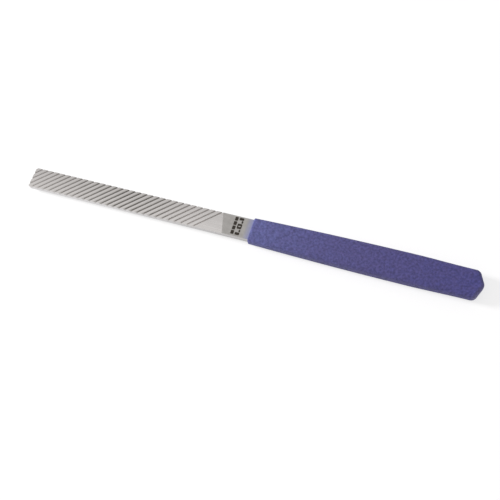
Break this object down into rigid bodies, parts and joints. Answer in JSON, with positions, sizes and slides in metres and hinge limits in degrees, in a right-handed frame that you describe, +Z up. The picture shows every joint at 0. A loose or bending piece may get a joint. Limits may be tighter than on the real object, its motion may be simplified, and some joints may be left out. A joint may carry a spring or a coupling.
{
  "type": "wood rasp",
  "caption": "Flat hand rasp with skewed milled teeth along one face of a steel bar blade and a soft vinyl-coated grip with a blunt V-shaped butt.",
  "frame": {"origin": "middle of the length and width, on the plane that the belly of the grip rests on", "axes": "X along the tool, tip at -X and butt at +X; +Z up through the toothed face; Y across the blade"},
  "size_m": [0.25, 0.0162, 0.0074],
  "materials": {
    "blade_steel": "ground and milled, satin",
    "grip_vinyl": "matte, finely pebbled soft vinyl"
  },
  "bodies": {
    "root": {"blade": "blade_steel", "grip": "grip_vinyl"}
  },
  "joints": []
}
